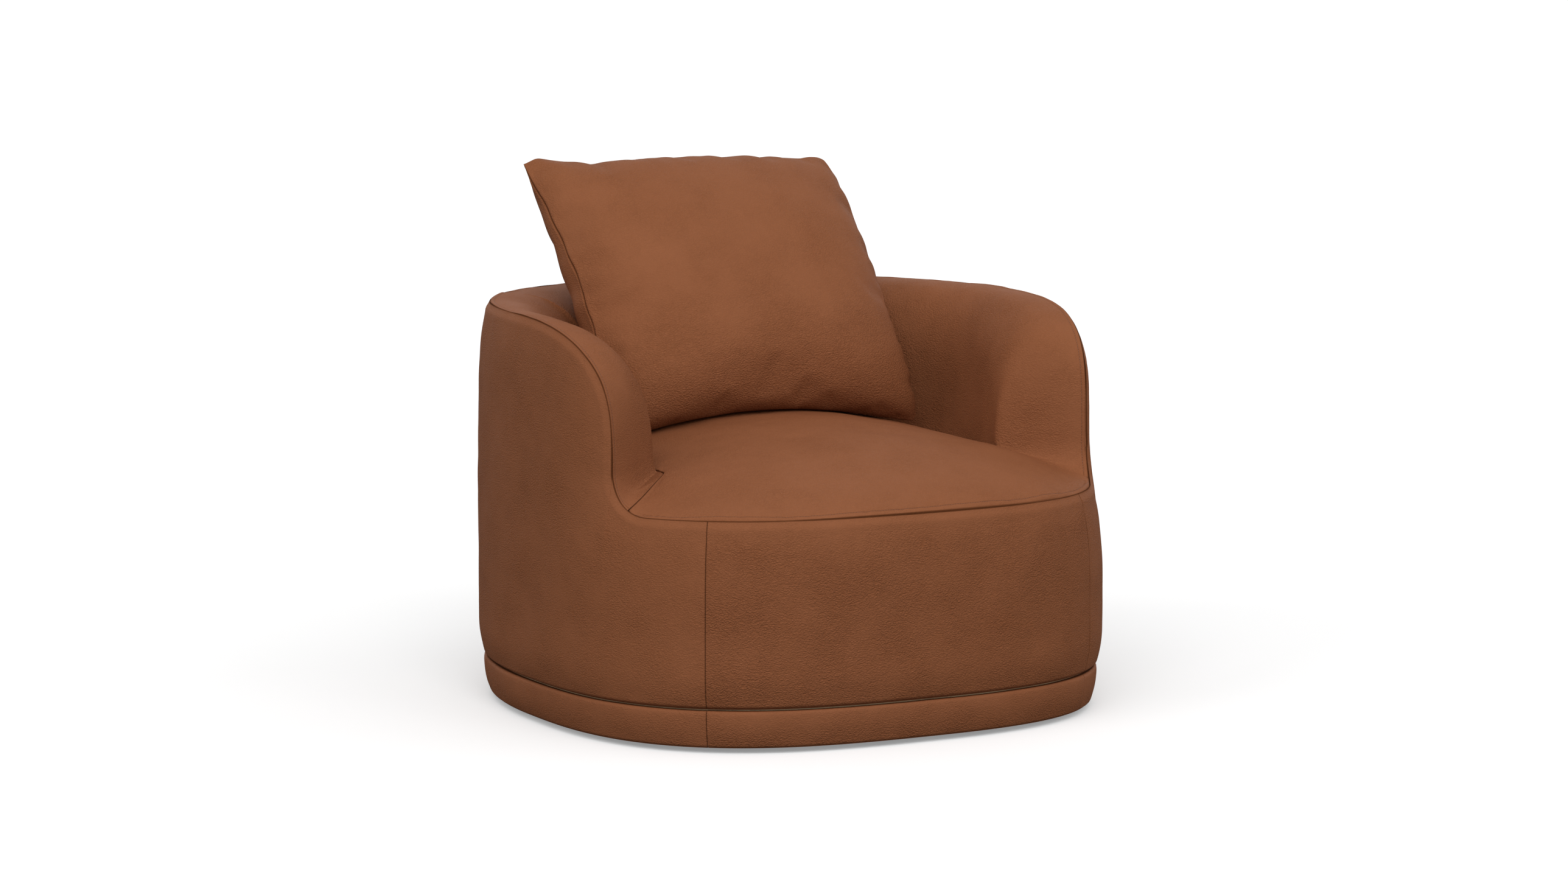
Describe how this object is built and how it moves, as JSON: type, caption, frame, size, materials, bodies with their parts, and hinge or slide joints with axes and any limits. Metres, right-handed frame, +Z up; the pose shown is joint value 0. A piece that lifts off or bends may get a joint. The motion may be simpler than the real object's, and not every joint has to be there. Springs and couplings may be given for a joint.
{
  "type": "swivel chair",
  "caption": "Barrel armchair with a tight domed seat, sweeping arms, a skirted plinth on a hidden ball-bearing swivel and a loose back pillow.",
  "frame": {"origin": "on the floor at the swivel's axis, which is the middle of the chair's outline", "axes": "+Z up along the swivel's axis, -Y towards the front of the seat, +X to the sitter's left"},
  "size_m": [0.96, 1, 0.8652],
  "materials": {
    "leather": "semi-aniline leather, satin, fine pebble grain",
    "foam": "upholstery foam",
    "plywood": "sanded birch plywood",
    "frame_wood": "planed hardwood",
    "plate_steel": "black coated pressed steel",
    "zinc_steel": "zinc plated",
    "ball_steel": "polished",
    "spring_steel": "black oiled wire",
    "cage_plastic": "nylon",
    "glide_plastic": "moulded nylon",
    "felt": "needled felt",
    "cambric": "non-woven dust cloth",
    "pillow_ticking": "white cotton ticking",
    "zip_tape": "nylon coil zip"
  },
  "bodies": {
    "base": {"base_disc": "plywood", "floor_glides": "glide_plastic", "glide_screws": "zinc_steel", "lower_swivel_plate": "plate_steel", "lower_plate_screws": "zinc_steel", "king_pin": "zinc_steel", "pin_washer": "zinc_steel", "pin_nut": "zinc_steel"},
    "cage": {"ball_cage": "cage_plastic", "bearing_balls": "ball_steel"},
    "chair": {"upper_swivel_plate": "plate_steel", "upper_plate_screws": "zinc_steel", "swivel_board": "plywood", "plinth_band": "plywood", "plinth_padding": "foam", "plinth_side_cover": "leather", "plinth_front_cover": "leather", "dust_cover": "cambric", "bottom_frame": "plywood", "lower_posts": "frame_wood", "seat_deck": "plywood", "front_rail": "frame_wood", "back_rail": "frame_wood", "side_rails": "frame_wood", "upper_posts": "frame_wood", "top_rail": "plywood", "side_shell_left": "plywood", "side_shell_right": "plywood", "back_shell": "plywood", "front_former": "plywood", "seat_springs": "spring_steel", "spring_clips": "glide_plastic", "spring_pad": "felt", "seat_foam": "foam", "seat_cover": "leather", "arm_foam_left": "foam", "arm_foam_right": "foam", "back_foam": "foam", "arm_cover_left": "leather", "arm_cover_right": "leather", "back_cover": "leather", "outside_padding_left": "foam", "outside_padding_right": "foam", "front_padding": "foam", "outside_panel_left": "leather", "outside_panel_right": "leather", "front_panel": "leather"},
    "pillow": {"pillow_front_panel": "leather", "pillow_rear_panel": "leather", "pillow_insert": "pillow_ticking", "pillow_zip": "zip_tape"}
  },
  "joints": [
    {"name": "chair_swivel", "type": "hinge", "parent": "base", "child": "chair", "pos_m": [0, 0, 0.0385], "axis": [0, 0, 1], "continuous": true},
    {"name": "cage_orbit", "type": "hinge", "parent": "base", "child": "cage", "pos_m": [0, 0, 0.0385], "axis": [0, 0, 1], "continuous": true},
    {"name": "pillow_lift", "type": "slide", "parent": "chair", "child": "pillow", "axis": [0, 0, 1], "range_m": [0, 0.45]}
  ],
  "couplings": [
    {"joint": "cage_orbit", "follows": "chair_swivel", "ratio": 0.5}
  ]
}
